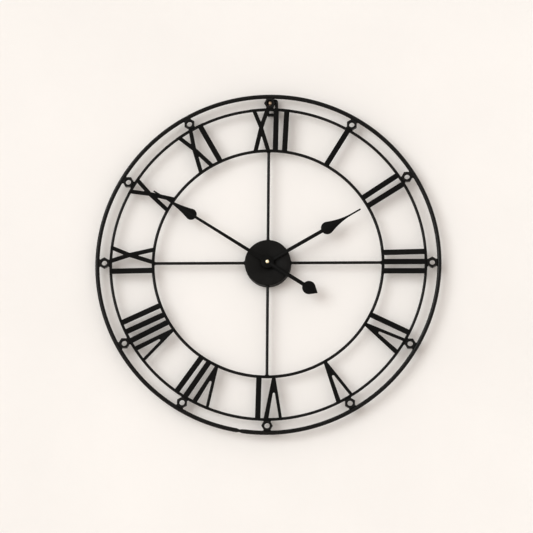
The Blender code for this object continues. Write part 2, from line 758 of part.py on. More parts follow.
def case_walls():
    """The paints that both shells share: the outside, the hollow, and the wall above the battery."""
    outside = rounded_square(CASE_SIDE, CASE_CORNER)
    inside = rounded_square(CASE_SIDE - 2 * CASE_WALL, CASE_CORNER - CASE_WALL)
    bay_wall = rectangle(-BAY_WALL_HALF, BAY_WALL_HALF, BAY_TOP_LOW, BAY_TOP_HIGH)
    return [(outside, True), (inside, False), (bay_wall, True)]


def posts(places):
    return [(circle(POST_RADIUS, 8, at), True) for at in places]


def make_front_case(centre):
    at = arbors()
    walls = case_walls()
    outside = walls[0]
    standing = posts(PLATE_POSTS)
    # two short ribs reach from the side walls to the bay wall, which leaves room beside it for the contacts
    inner, outer = BAY_WALL_HALF - 0.5, (CASE_SIDE - CASE_WALL) / 2
    ribs = [
        (rectangle(-outer, -inner, BAY_TOP_LOW, BAY_TOP_HIGH), True),
        (rectangle(inner, outer, BAY_TOP_LOW, BAY_TOP_HIGH), True),
    ]
    motion_post = (circle(MOTION_POST_RADIUS, 8, at["motion"]), True)
    bush_hole = (circle(BUSH_RADIUS + 0.1, 24), False)
    pivots = [
        (circle(PIVOT_HOLE + 0.1, 8, at["third"]), False),
        (circle(KNOB_PIVOT + 0.25, 8, at["knob"]), False),
    ]
    post_low = PLATE_HIGH + 0.2
    pivot_high = INNER_FRONT + PIVOT_DEPTH
    shape = stack(
        [
            (CASE_SPLIT + TOUCH / 2, post_low, walls),
            (post_low, MOTION_POST_LOW, walls + standing),
            (MOTION_POST_LOW, INNER_FRONT, walls + ribs + standing + [motion_post]),
            (INNER_FRONT, pivot_high, [outside, bush_hole, *pivots]),
            (pivot_high, CASE_FRONT, [outside, bush_hole]),
        ]
    )
    place("movement_front_case", shape, black_plastic(), centre)


def make_back_case(centre):
    at = arbors()
    walls = case_walls()
    outside = walls[0]
    bay = rectangle(-BATTERY_HALF - 0.2, BATTERY_HALF + 0.2, BAY_BOTTOM, BAY_TOP_LOW - 0.1)
    openings = [(bay, False), (circle(KNOB_SHAFT + 0.25, 12, at["knob"]), False)]
    pivots = [
        (circle(PIVOT_HOLE, 8, at[name]), False) for name in ("centre", "third", "step", "rotor")
    ]
    pivot_low, post_high = INNER_BACK - PIVOT_DEPTH, BOARD_LOW - 0.15
    shape = stack(
        [
            (CASE_BACK, pivot_low, [outside, *openings]),
            (pivot_low, INNER_BACK, [outside, *openings, *pivots]),
            (INNER_BACK, post_high, walls + posts(BOARD_POSTS)),
            (post_high, CASE_SPLIT - TOUCH / 2, walls),
        ]
    )
    place("movement_back_case", shape, black_plastic(), centre)


def make_train_plate(centre):
    at = arbors()
    holes = [
        circle(PIVOT_HOLE, 8, at["centre"]),
        circle(PLATE_THIRD_HOLE, 12, at["third"]),
        circle(PIVOT_HOLE - 0.05, 8, at["step"]),
        circle(PIVOT_HOLE - 0.05, 8, at["rotor"]),
        circle(KNOB_SHAFT + 0.3, 12, at["knob"]),
    ]
    outline = rectangle(PLATE_LEFT, PLATE_RIGHT, PLATE_BOTTOM, PLATE_TOP)
    place("train_plate", sheet(PLATE_LOW, PLATE_HIGH, [outline], holes), white_plastic(), centre)


def make_bush_and_fasteners(centre):
    bore = circle(BUSH_BORE, 20)
    body, flange = circle(BUSH_RADIUS, 20), circle(BUSH_FLANGE, 20)
    bush = stack(
        [
            (BUSH_BACK, BUSH_SHOULDER, [(flange, True), (bore, False)]),
            (BUSH_SHOULDER, BUSH_FRONT, [(body, True), (bore, False)]),
        ]
    )
    place("threaded_bush", bush, brass(), centre, smooth=40)
    hole = circle(WASHER_BORE, 24)
    seal = sheet(
        CASE_FRONT + RUBBER_GAP,
        PAN_FRONT - PAN_SHEET - RUBBER_GAP,
        [circle(RUBBER_RADIUS, 24)],
        [hole],
    )
    place("rubber_washer", seal, rubber(), centre, smooth=40)
    washer = sheet(DIAL_WASHER_BACK, DIAL_WASHER_FRONT, [circle(DIAL_WASHER_RADIUS, 24)], [hole])
    place("dial_washer", washer, brass(), centre, smooth=40)
    nut = sheet(
        LOCKNUT_BACK,
        LOCKNUT_FRONT,
        [hexagon(LOCKNUT_ACROSS_FLATS, 0)],
        [circle(BUSH_RADIUS + 0.1, 20)],
    )
    place("bush_locknut", nut, brass(), centre)


def lying_at(x, y, height):
    """Lays a turned body's axis along x, through this place."""
    return Matrix.Translation((x * MM, y * MM, height * MM)) @ Matrix.Rotation(math.radians(90), 4, "Y")


def make_board(centre):
    outline = rectangle(BOARD_LEFT, BOARD_RIGHT, BOARD_BOTTOM, BOARD_TOP)
    place("circuit_board", sheet(BOARD_LOW, BOARD_HIGH, [outline]), circuit_green(), centre)
    low = BOARD_HIGH + BOARD_GAP
    chip = stack(
        [
            (low, low + CHIP_STEP, [(circle(CHIP_RADIUS, 16, CHIP_AT), True)]),
            (low + CHIP_STEP, low + 2 * CHIP_STEP, [(circle(CHIP_TOP_RADIUS, 16, CHIP_AT), True)]),
        ]
    )
    place("driver_chip", chip, ferrite(), centre, smooth=30)
    profile = [
        (0, -CRYSTAL_HALF),
        (CRYSTAL_RADIUS, -CRYSTAL_HALF),
        (CRYSTAL_RADIUS, CRYSTAL_HALF),
        (0, CRYSTAL_HALF),
    ]
    lying = lying_at(*CRYSTAL_AT, low + CRYSTAL_RADIUS + 0.05)
    place("quartz_crystal", turned(profile, 12), steel(), centre, matrix=lying, smooth=40)


def make_motor(centre):
    at = arbors()
    low, high = STATOR_LOW + STATOR_BAR + TOUCH, STATOR_HIGH - STATOR_BAR - TOUCH
    profile = [
        (0, low),
        (COIL_FLANGE, low),
        (COIL_FLANGE, low + COIL_FLANGE_THICKNESS),
        (COIL_WINDING, low + COIL_FLANGE_THICKNESS),
        (COIL_WINDING, high - COIL_FLANGE_THICKNESS),
        (COIL_FLANGE, high - COIL_FLANGE_THICKNESS),
        (COIL_FLANGE, high),
        (0, high),
    ]
    middle = Matrix.Translation((COIL_X * MM, 0, (STATOR_BACK + STATOR_FRONT) / 2 * MM))
    upright = middle @ Matrix.Rotation(math.radians(-90), 4, "X")
    place("coil", turned(profile, 16), copper(), centre, matrix=upright, smooth=40)
    stator = sheet(
        STATOR_BACK,
        STATOR_FRONT,
        [
            circle(STATOR_RING, 20, at["rotor"]),
            rectangle(STATOR_ARM_LEFT, STATOR_ARM_RIGHT, STATOR_LOW, STATOR_HIGH),
            rectangle(STATOR_ARM_LEFT, STATOR_END, STATOR_LOW, STATOR_LOW + STATOR_BAR),
            rectangle(STATOR_ARM_LEFT, STATOR_END, STATOR_HIGH - STATOR_BAR, STATOR_HIGH),
        ],
        [circle(STATOR_BORE, 20, at["rotor"])],
    )
    place("stator", stator, steel(), centre)


def make_contacts(centre):
    """Two upright brass strips at the battery's ends. Each has a tab over an end of the circuit board
    and a leaf that bulges towards the battery."""
    low = BOARD_HIGH + BOARD_GAP
    for name, side in (("positive", 1), ("negative", -1)):
        leaf_half = LEAF_HALVES[name]
        inner, outer = side * CONTACT_INSIDE, side * (CONTACT_INSIDE + CONTACT_THICKNESS)
        bulge = side * (BATTERY_HALF + 0.2)
        strip = rectangle(inner, outer, BATTERY_UP - CONTACT_BELOW, CONTACT_TOP)
        tab = rectangle(side * TAB_INSIDE, outer, TAB_BOTTOM, CONTACT_TOP)
        leaf = [
            (outer, BATTERY_UP - leaf_half),
            (inner, BATTERY_UP - leaf_half),
            (bulge, BATTERY_UP - leaf_half / 3),
            (bulge, BATTERY_UP + leaf_half / 3),
            (inner, BATTERY_UP + leaf_half),
            (outer, BATTERY_UP + leaf_half),
        ]
        shape = stack(
            [
                (low, low + TAB_THICKNESS, [(strip, True), (tab, True)]),
                (low + TAB_THICKNESS, LEAF_LOW, [(strip, True)]),
                (LEAF_LOW, LEAF_HIGH, [(strip, True), (leaf, True)]),
            ]
        )
        place(f"battery_contact_{name}", shape, brass(), centre)


# ------------------------------------------------------------------ movement: what turns


def solid(outline):
    return [(outline, True)]


def make_centre_wheel(centre, cannon_phase):
    """The wheel on the hand axis that drives the third wheel's pinion. Its cannon drives the motion
    work, and its long pipe carries the minute hand."""
    bore = (circle(PIVOT_HOLE, 8), False)
    wheel = gear(CENTRE_TEETH, CENTRE_MODULE, 0)
    cannon = gear(CANNON_LEAVES, CANNON_MODULE, cannon_phase)
    pipe = circle(MINUTE_ARBOR, 16)
    shape = stack(
        [
            (CENTRE_WHEEL_BACK, CENTRE_WHEEL_FRONT, [(wheel, True), bore]),
            (CENTRE_WHEEL_FRONT, CANNON_BACK, [(circle(CANNON_NECK, 12), True), bore]),
            (CANNON_BACK, CANNON_FRONT, [(cannon, True), bore]),
            (CANNON_FRONT, MINUTE_BORE_END, [(pipe, True), bore]),
            (MINUTE_BORE_END, MINUTE_SEAT_END, solid(pipe)),
            (MINUTE_SEAT_END, MINUTE_THREAD_END, solid(circle(MINUTE_THREAD, 16))),
        ]
    )
    place("centre_wheel", shape, brass(), centre, smooth=30)


def make_running_train(centre):
    """The wheels between the rotor and the centre wheel. The seconds wheel runs on the hand axis."""
    at = arbors()
    arbor = solid(circle(ARBOR, 8))
    third_leaves = mesh_phase(0, CENTRE_TEETH, THIRD_LEAVES, THIRD_DIRECTION)
    shape = stack(
        [
            (PIVOT_BACK, THIRD_WHEEL_BACK, arbor),
            (THIRD_WHEEL_BACK, THIRD_LEAVES_BACK, solid(gear(THIRD_TEETH, THIRD_MODULE, 0))),
            (THIRD_LEAVES_BACK, THIRD_LEAVES_FRONT, solid(gear(THIRD_LEAVES, CENTRE_MODULE, third_leaves))),
            (THIRD_LEAVES_FRONT, CASE_PIVOT, arbor),
        ]
    )
    place("third_wheel", shape, white_plastic(), centre, at=at["third"])

    seconds_leaves = gear(
        SECONDS_LEAVES,
        THIRD_MODULE,
        mesh_phase(0, THIRD_TEETH, SECONDS_LEAVES, THIRD_DIRECTION + 180),
    )
    shape = stack(
        [
            (PIVOT_BACK, SECONDS_WHEEL_BACK, arbor),
            (SECONDS_WHEEL_BACK, SECONDS_LEAVES_BACK, solid(gear(SECONDS_TEETH, SECONDS_MODULE, 0))),
            (SECONDS_LEAVES_BACK, SECONDS_LEAVES_FRONT, solid(seconds_leaves)),
            (SECONDS_LEAVES_FRONT, SECONDS_TIP, arbor),
        ]
    )
    place("seconds_wheel", shape, white_plastic(), centre)

    step_leaves = mesh_phase(0, SECONDS_TEETH, STEP_LEAVES, STEP_DIRECTION)
    shape = stack(
        [
            (PIVOT_BACK, STEP_WHEEL_BACK, arbor),
            (STEP_WHEEL_BACK, STEP_LEAVES_BACK, solid(gear(STEP_TEETH, STEP_MODULE, 0))),
            (STEP_LEAVES_BACK, STEP_LEAVES_FRONT, solid(gear(STEP_LEAVES, SECONDS_MODULE, step_leaves))),
            (STEP_LEAVES_FRONT, PLATE_PIVOT, arbor),
        ]
    )
    place("step_wheel", shape, white_plastic(), centre, at=at["step"])


def make_rotor(centre):
    """A pinion and its arbor, and a ring magnet pressed on it."""
    at = arbors()["rotor"]
    arbor = solid(circle(ARBOR, 8))
    leaves = gear(ROTOR_LEAVES, STEP_MODULE, mesh_phase(0, STEP_TEETH, ROTOR_LEAVES, ROTOR_DIRECTION))
    shape = stack(
        [
            (PIVOT_BACK, ROTOR_LEAVES_BACK, arbor),
            (ROTOR_LEAVES_BACK, ROTOR_LEAVES_FRONT, solid(leaves)),
            (ROTOR_LEAVES_FRONT, PLATE_PIVOT, arbor),
        ]
    )
    place("rotor_pinion", shape, white_plastic(), centre, at=at)
    magnet = sheet(MAGNET_BACK, MAGNET_FRONT, [circle(MAGNET_RADIUS, 20)], [circle(ARBOR + 0.1, 8)])
    place("rotor_magnet", magnet, ferrite(), centre, at=at, smooth=40)


def make_motion_work(centre, motion_phase):
    """The wheel driven by the cannon, and the hour wheel that its pinion drives. The hour wheel's pipe
    carries the hour hand."""
    post_bore = (circle(MOTION_BORE, 8), False)
    wheel = gear(MOTION_TEETH, CANNON_MODULE, motion_phase)
    leaves = gear(MOTION_LEAVES, HOUR_MODULE, 0)
    shape = stack(
        [
            (MOTION_WHEEL_BACK, MOTION_LEAVES_BACK, [(wheel, True), post_bore]),
            (MOTION_LEAVES_BACK, MOTION_LEAVES_FRONT, [(leaves, True), post_bore]),
        ]
    )
    place("motion_wheel", shape, white_plastic(), centre, at=arbors()["motion"])

    pipe_bore = (circle(HOUR_PIPE_BORE, 16), False)
    hour_phase = mesh_phase(0, MOTION_LEAVES, HOUR_TEETH, MOTION_DIRECTION + 180)
    wheel = gear(HOUR_TEETH, HOUR_MODULE, hour_phase)
    shape = stack(
        [
            (HOUR_WHEEL_BACK, HOUR_WHEEL_FRONT, [(wheel, True), pipe_bore]),
            (HOUR_WHEEL_FRONT, HOUR_PIPE_END, [(circle(HOUR_PIPE, 20), True), pipe_bore]),
        ]
    )
    place("hour_wheel", shape, white_plastic(), centre, smooth=30)


def make_setting_knob(centre, motion_phase):
    """The knob at the back, whose pinion turns the motion wheel."""
    grip = []
    for i in range(KNOB_RIDGES):
        grip.append(polar(KNOB_RADIUS, 360 * (i - 0.2) / KNOB_RIDGES))
        grip.append(polar(KNOB_RADIUS, 360 * (i + 0.2) / KNOB_RIDGES))
        grip.append(polar(KNOB_RADIUS - KNOB_RIDGE_DEPTH, 360 * (i + 0.5) / KNOB_RIDGES))
    knob_phase = mesh_phase(motion_phase, MOTION_TEETH, KNOB_LEAVES, KNOB_DIRECTION)
    shape = stack(
        [
            (KNOB_BACK, KNOB_FRONT, solid(grip)),
            (KNOB_FRONT, KNOB_LEAVES_BACK, solid(circle(KNOB_SHAFT, 12))),
            (KNOB_LEAVES_BACK, KNOB_LEAVES_FRONT, solid(gear(KNOB_LEAVES, CANNON_MODULE, knob_phase))),
            (KNOB_LEAVES_FRONT, CASE_PIVOT, solid(circle(KNOB_PIVOT, 8))),
        ]
    )
    place("setting_knob", shape, black_plastic(), centre, at=arbors()["knob"])


def make_train(centre):
    cannon_phase = 0.0
    motion_phase = mesh_phase(cannon_phase, CANNON_LEAVES, MOTION_TEETH, MOTION_DIRECTION)
    make_centre_wheel(centre, cannon_phase)
    make_running_train(centre)
    make_rotor(centre)
    make_motion_work(centre, motion_phase)
    make_setting_knob(centre, motion_phase)


def make_battery(centre):
    """An AA cell lying across the bottom of the movement, its button to the right."""
    shoulder = BATTERY_HALF - BUTTON_LENGTH
    profile = [
        (0, -BATTERY_HALF),
        (BATTERY_RADIUS - BATTERY_CHAMFER, -BATTERY_HALF),
        (BATTERY_RADIUS, -BATTERY_HALF + BATTERY_CHAMFER),
        (BATTERY_RADIUS, shoulder - 0.3 - BATTERY_CHAMFER),
        (BATTERY_RADIUS - BATTERY_CHAMFER, shoulder - 0.3),
        (BUTTON_RADIUS + 0.1, shoulder),
        (BUTTON_RADIUS - 0.1, BATTERY_HALF),
        (0, BATTERY_HALF),
    ]
    lying = lying_at(0, BATTERY_UP, BATTERY_HEIGHT)
    place("battery", turned(profile, 20), battery_jacket(), centre, matrix=lying, smooth=30)


# ------------------------------------------------------------------ hands


def bulb_and_needle(bulb, bulb_at, needle, needle_at, tip, steps=7):
    """A round bulb that narrows in a hollow curve to a needle with a round tip."""
    start = bulb_at + 0.45 * bulb
    widest = math.sqrt(bulb**2 - (start - bulb_at) ** 2)
    right = []
    for i in range(steps + 1):
        share = i / steps
        width = needle + (widest - needle) * (1 - share) ** BULB_HOLLOW
        right.append((width, start + (needle_at - start) * share))
    right += [(needle, tip - needle), (needle * 0.7, tip - needle * 0.3)]
    left = [(-x, y) for x, y in reversed(right)]
    return [circle(bulb, 28, (0, bulb_at)), right + [(0, tip)] + left]


def make_hour_hand(centre):
    outlines = [
        circle(HAND_BOSS, 28),
        rectangle(-HOUR_ROD, HOUR_ROD, ROD_LAP, HOUR_BULB_AT - ROD_LAP),
    ]
    outlines += bulb_and_needle(HOUR_BULB, HOUR_BULB_AT, HOUR_NEEDLE, HOUR_NEEDLE_AT, HOUR_TIP)
    shape = sheet(
        HOUR_HAND_BACK,
        HOUR_HAND_BACK + HAND_THICKNESS,
        outlines,
        [circle(HOUR_PIPE + SEAT_GAP, 20)],
    )
    place("hour_hand", shape, black_iron(), centre, turn=HOUR_HAND_TURN)


def make_minute_hand(centre):
    half = math.acos(TAIL_LEAF / (TAIL_TIP - TAIL_LEAF_AT))
    leaf_side = (
        TAIL_LEAF * math.sin(half),
        -TAIL_LEAF_AT - TAIL_LEAF * math.cos(half),
    )
    outlines = [
        circle(HAND_BOSS, 28),
        tapered(MINUTE_ROD, ROD_LAP, MINUTE_ROD_END, MINUTE_BULB_AT - ROD_LAP),
        rectangle(-TAIL_ROD, TAIL_ROD, -TAIL_LEAF_AT + ROD_LAP, -ROD_LAP),
        circle(TAIL_LEAF, 28, (0, -TAIL_LEAF_AT)),
        [(0, -TAIL_TIP), leaf_side, (0, -TAIL_LEAF_AT), (-leaf_side[0], leaf_side[1])],
    ]
    outlines += bulb_and_needle(
        MINUTE_BULB, MINUTE_BULB_AT, MINUTE_NEEDLE, MINUTE_NEEDLE_AT, MINUTE_TIP
    )
    shape = sheet(
        MINUTE_HAND_BACK,
        MINUTE_HAND_BACK + HAND_THICKNESS,
        outlines,
        [circle(MINUTE_ARBOR + SEAT_GAP, 16)],
    )
    place("minute_hand", shape, black_iron(), centre, turn=MINUTE_HAND_TURN)


def make_hand_nut(centre):
    """A closed brass nut, domed, on the end of the minute arbor."""
    low, high = HAND_NUT_BACK, HAND_NUT_BACK + HAND_NUT_LENGTH
    bore = MINUTE_THREAD + 0.15
    profile = [
        (0, low + HAND_NUT_BORE_DEPTH),
        (bore, low + HAND_NUT_BORE_DEPTH),
        (bore, low),
        (HAND_NUT_RADIUS, low),
        (HAND_NUT_RADIUS, low + HAND_NUT_RIM),
        (HAND_NUT_RADIUS - 0.4, high - 0.8),
        (HAND_NUT_RADIUS - 1.5, high - 0.2),
        (0, high),
    ]
    place("hand_nut", turned(profile, 20), brass(), centre, smooth=50)


def main():
    clear_scene()
    centre = make_dial_centre()
    make_rings(centre)
    make_nuts(centre)
    make_numerals(centre)
    make_spokes(centre)
    make_hanger(centre)
    make_hub_pan(centre)
    make_front_case(centre)
    make_back_case(centre)
    make_train_plate(centre)
    make_bush_and_fasteners(centre)
    make_board(centre)
    make_motor(centre)
    make_contacts(centre)
    make_train(centre)
    make_battery(centre)
    make_hour_hand(centre)
    make_minute_hand(centre)
    make_hand_nut(centre)


main()
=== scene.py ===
"""The looks of the skeleton wall clock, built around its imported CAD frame.

Every piece is drawn in the dial's own millimetres: x to the right, y up, and depth out from the wall, with the
hand axis at x = y = 0. dial() turns such a place into the frame's metres. Directions on the dial are clockwise
angles from 12.
"""

import json
import math

import bmesh
import bpy
from mathutils import Matrix, Quaternion, Vector, noise


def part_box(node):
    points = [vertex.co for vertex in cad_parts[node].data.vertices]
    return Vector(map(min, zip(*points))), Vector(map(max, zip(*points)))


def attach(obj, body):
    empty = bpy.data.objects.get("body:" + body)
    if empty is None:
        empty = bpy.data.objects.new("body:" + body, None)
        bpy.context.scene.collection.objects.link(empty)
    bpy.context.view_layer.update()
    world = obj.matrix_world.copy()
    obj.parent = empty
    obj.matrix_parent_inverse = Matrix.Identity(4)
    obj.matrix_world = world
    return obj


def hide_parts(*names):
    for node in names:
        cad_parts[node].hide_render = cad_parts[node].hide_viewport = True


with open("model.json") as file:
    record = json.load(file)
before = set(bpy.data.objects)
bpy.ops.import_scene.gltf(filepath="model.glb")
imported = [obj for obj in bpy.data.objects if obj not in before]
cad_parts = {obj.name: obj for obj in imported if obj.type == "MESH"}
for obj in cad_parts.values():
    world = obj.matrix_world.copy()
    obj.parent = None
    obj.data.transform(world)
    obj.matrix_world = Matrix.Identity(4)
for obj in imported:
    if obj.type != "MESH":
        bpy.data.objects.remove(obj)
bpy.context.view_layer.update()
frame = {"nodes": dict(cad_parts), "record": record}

noise.seed_set(1)  # noise_vector() starts from the random state, which is otherwise set by the clock

MM = 0.001
PAN_LOW, PAN_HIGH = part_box("hub_pan")
HAND_AXIS = (PAN_LOW + PAN_HIGH) / 2
FRAME_BODY = "clock_frame"
HOURS = range(1, 13)
SPOKES = {"top": 0, "right": 90, "bottom": 180, "left": 270}


def dial(x, y, depth):
    """A place on the dial, in the frame's metres."""
    return Vector((HAND_AXIS.x + x * MM, -depth * MM, HAND_AXIS.z + y * MM))


def around(radius, clockwise, depth):
    """A place at this radius and clockwise angle in degrees, in the frame's metres."""
    angle = math.radians(clockwise)
    return dial(radius * math.sin(angle), radius * math.cos(angle), depth)


def local(point):
    """(x, y, depth) in the dial's millimetres of a place in the frame."""
    return (
        (point.x - HAND_AXIS.x) / MM,
        (point.z - HAND_AXIS.z) / MM,
        -point.y / MM,
    )


def ring_size(node):
    """(radius of the rod's centre line, radius of the rod, depth of the centre line) of a ring node."""
    low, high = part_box(node)
    rod = (high.y - low.y) / 2 / MM
    return (high.x - low.x) / 2 / MM - rod, rod, -(high.y + low.y) / 2 / MM


OUTER = ring_size("outer_ring")
MIDDLE = ring_size("middle_ring")
INNER = ring_size("inner_ring")
PAN_RADIUS = (PAN_HIGH.x - PAN_LOW.x) / 2 / MM
PAN_FRONT = -PAN_LOW.y / MM

# ---- Looks of the welded iron
ROD_STEPS, ROD_SIDES = 360, 20
ROD_WAVE = 0.12  # how far the hand-bent rod strays, in mm
SEAM_ANGLE, SEAM_HALF, SEAM_DEPTH = 189.0, 1.2, 1.3  # the outer ring's butt joint, in degrees and mm
STEP_ANGLE, STEP_HALF, STEP_DEPTH = 330.6, 1.0, 0.5
NUT_STEPS = 72
NUT_FACE, NUT_CHAMFER = 8.0, 0.5  # radius of a nut's flat face, and the slope of its chamfer
NUT_BORE = 4.75  # radius of the thread's crests
THREAD_PITCH, THREAD_DEPTH, THREAD_MOUTH = 1.5, 0.55, 0.6
BEAD = 1.5  # radius of one lump of weld
BEAD_PITCH, BEADS_BESIDE = 1.75, 3  # along a nut's flat, and how many lie either side of its middle
PLATE_EDGE = 0.35  # rounding of sheet edges
HAND_EDGE = 0.28
MOULD_EDGE = 0.35
PAN_BEND, PAN_SHEET, PAN_HOLE = 1.6, 1.2, 4.2
LOOP_CORNER = 3.0  # of the hanger loop's centre line

# ---- The AA cell, in mm
SLEEVE_EDGE, SLEEVE_INSET = 0.4, 0.02
BUTTON_LENGTH, BUTTON_RADIUS, BUTTON_EDGE = 1.2, 2.65, 0.25
CAP_RIM, CAP_LOW = 1.5, 0.1
BAND_START = 0.70  # where the silver band begins, as a share of the cell's length

# ---- The view
CAMERA_PLACE = (314, -1001, 5001)  # on the dial, in mm
CAMERA_AIM = (-3.2, -3.1, 0)
CAMERA_ROLL = 0.46  # degrees
CAMERA_LENS = 199.0

WINDOW_SIDE = (-0.80, -1.0, 0.36)  # towards a large window at the upper left
WINDOW_SPREAD = 40.0  # degrees
WINDOW_POWER = 1.28  # watts on a square metre
WINDOW_COLOUR = (0.94, 0.99, 1.0)
ROOM_LIGHT = 0.96
ROOM_COLOUR = (1.0, 0.93, 0.875)
BACK_POWER = 170  # watts
CONTRAST = 0.82  # display gamma


# ------------------------------------------------------------------ materials


def node(tree, kind, **values):
    """A shader node with some of its settings and input values."""
    made = tree.nodes.new("ShaderNode" + kind)
    for name, value in values.items():
        if name in made.inputs:
            made.inputs[name].default_value = value
        else:
            setattr(made, name, value)
    return made


def new_material(name):
    made = bpy.data.materials.new(name)
    made.use_nodes = True
    tree = made.node_tree
    shader = tree.nodes["Principled BSDF"]
    place = node(tree, "TexCoord").outputs["Object"]
    return made, tree, shader, place


def clouds(tree, place, scale, detail=4.0, roughness=0.6, distortion=0.0):
    """A noise pattern over the surface, with this many features in a metre."""
    made = node(tree, "TexNoise", Scale=scale, Detail=detail, Roughness=roughness, Distortion=distortion)
    tree.links.new(place, made.inputs["Vector"])
    return made.outputs["Fac"]


def ramp(tree, value, stops):
    """Colours along a value, as (position, colour) stops."""
    made = node(tree, "ValToRGB")
    band = made.color_ramp
    while len(band.elements) < len(stops):
        band.elements.new(0.5)
    for element, (position, colour) in zip(band.elements, stops):
        element.position = position
        element.color = (*colour, 1.0)
    tree.links.new(value, made.inputs["Fac"])
    return made.outputs["Color"]


def spread(tree, value, low, high):
    """Stretches the middle of a noise value to the range low to high."""
    made = node(tree, "MapRange")
    made.inputs["From Min"].default_value = 0.3
    made.inputs["From Max"].default_value = 0.7
    made.inputs["To Min"].default_value = low
    made.inputs["To Max"].default_value = high
    tree.links.new(value, made.inputs["Value"])
    return made.outputs["Result"]


def add_bump(tree, shader, heights):
    """Bumps of (value, height in metres) pairs, one on top of the other."""
    normal = None
    for value, height in heights:
        made = node(tree, "Bump", Strength=1.0, Distance=height)
        tree.links.new(value, made.inputs["Height"])
        if normal:
            tree.links.new(normal, made.inputs["Normal"])
        normal = made.outputs["Normal"]
    tree.links.new(normal, shader.inputs["Normal"])


def black_iron(name, dark, light, roughness, gloss=0.20, grain=1.0):
    """Black paint on iron: blotches of thicker and thinner paint, an uneven satin sheen, fine orange peel, and
    the shallow dents of scale and hammer under it."""
    made, tree, shader, place = new_material(name)
    blotches = clouds(tree, place, 45, 5, 0.62, 0.4)
    specks = clouds(tree, place, 900, 3, 0.7)
    base = ramp(tree, blotches, [(0.30, dark), (0.62, light), (0.78, [c * 1.5 for c in light])])
    dust = ramp(tree, specks, [(0.0, (1, 1, 1)), (0.62, (1, 1, 1)), (0.74, (1.9, 1.85, 1.75))])
    mix = node(tree, "Mix", data_type="RGBA", blend_type="MULTIPLY")
    mix.inputs["Factor"].default_value = 0.7
    tree.links.new(base, mix.inputs["A"])
    tree.links.new(dust, mix.inputs["B"])
    tree.links.new(mix.outputs["Result"], shader.inputs["Base Color"])
    sheen = clouds(tree, place, 130, 4, 0.6)
    tree.links.new(spread(tree, sheen, roughness - 0.09, roughness + 0.12), shader.inputs["Roughness"])
    shader.inputs["Specular IOR Level"].default_value = gloss
    add_bump(
        tree,
        shader,
        [
            (clouds(tree, place, 95, 3, 0.5), 0.00030 * grain),
            (clouds(tree, place, 420, 3, 0.55), 0.00009 * grain),
            (specks, 0.00003),
        ],
    )
    return made


def metal(name, colour, worn, roughness, scratches=0.00001, turned_lines=False):
    """Bare metal with tarnish, uneven gloss and fine machining marks."""
    made, tree, shader, place = new_material(name)
    shader.inputs["Metallic"].default_value = 1.0
    tarnish = clouds(tree, place, 160, 5, 0.6)
    tree.links.new(ramp(tree, tarnish, [(0.35, colour), (0.7, worn)]), shader.inputs["Base Color"])
    gloss = clouds(tree, place, 500, 4, 0.6)
    tree.links.new(spread(tree, gloss, roughness - 0.05, roughness + 0.10), shader.inputs["Roughness"])
    marks = node(tree, "TexWave", Scale=1400.0 if turned_lines else 600.0, Distortion=1.5)
    marks.wave_type = "RINGS" if turned_lines else "BANDS"
    if turned_lines:
        marks.rings_direction = "Y"
    tree.links.new(place, marks.inputs["Vector"])
    add_bump(tree, shader, [(marks.outputs["Fac"], scratches), (gloss, scratches)])
    return made


def plastic(name, dark, light, roughness, texture=0.00003):
    """Moulded plastic with a fine spark-eroded grain and faint flow marks."""
    made, tree, shader, place = new_material(name)
    flow = clouds(tree, place, 60, 3, 0.5, 1.2)
    tree.links.new(ramp(tree, flow, [(0.3, dark), (0.7, light)]), shader.inputs["Base Color"])
    grain = clouds(tree, place, 2600, 2, 0.5)
    tree.links.new(spread(tree, flow, roughness - 0.05, roughness + 0.05), shader.inputs["Roughness"])
    add_bump(tree, shader, [(grain, texture), (flow, texture * 2)])
    return made


def grey(value, warmth=0.0):
    return (value * (1 + warmth), value, value * (1 - warmth))


IRON = black_iron("iron_rod", (0.0006, 0.0006, 0.0006), (0.0016, 0.0016, 0.0014), 0.24, 0.32)
IRON_PLATE = black_iron("iron_plate", (0.0008, 0.0008, 0.0007), (0.0022, 0.0022, 0.0019), 0.44, 0.16, 0.7)
IRON_WELD = black_iron("iron_weld", (0.0006, 0.0006, 0.0006), (0.0016, 0.0015, 0.0014), 0.32, 0.22, 1.6)
IRON_PAN = black_iron("iron_pan", (0.0050, 0.0048, 0.0045), (0.0085, 0.0082, 0.0077), 0.50, 0.18, 0.35)
BRASS = metal("brass", (0.86, 0.70, 0.36), (0.62, 0.45, 0.20), 0.26)
BRASS_TURNED = metal("brass_turned", (0.95, 0.88, 0.68), (0.90, 0.79, 0.55), 0.34, 0.000006, True)
SCREW_ZINC = metal("screw_zinc", (0.56, 0.46, 0.36), (0.34, 0.24, 0.16), 0.46)
STEEL = metal("steel", (0.56, 0.56, 0.57), (0.40, 0.39, 0.38), 0.34)
COPPER = metal("copper_wire", (0.72, 0.29, 0.13), (0.52, 0.18, 0.08), 0.30, 0.00006)
FERRITE = plastic("ferrite", grey(0.030), grey(0.055), 0.55)
BLACK_PLASTIC = plastic("black_plastic", grey(0.042), grey(0.060), 0.40)
WHITE_PLASTIC = plastic("white_plastic", (0.66, 0.65, 0.60), (0.78, 0.77, 0.73), 0.42)
RUBBER = plastic("rubber", grey(0.016), grey(0.028), 0.82, 0.00006)
CIRCUIT = plastic("circuit_green", (0.015, 0.10, 0.035), (0.03, 0.18, 0.07), 0.38)

SLOT_MATERIALS = {
    "black_iron": IRON_PLATE,
    "steel": STEEL,
    "brass": BRASS,
    "copper": COPPER,
    "black_plastic": BLACK_PLASTIC,
    "white_plastic": WHITE_PLASTIC,
    "rubber": RUBBER,
    "circuit_green": CIRCUIT,
    "ferrite": FERRITE,
}


# ------------------------------------------------------------------ mesh work


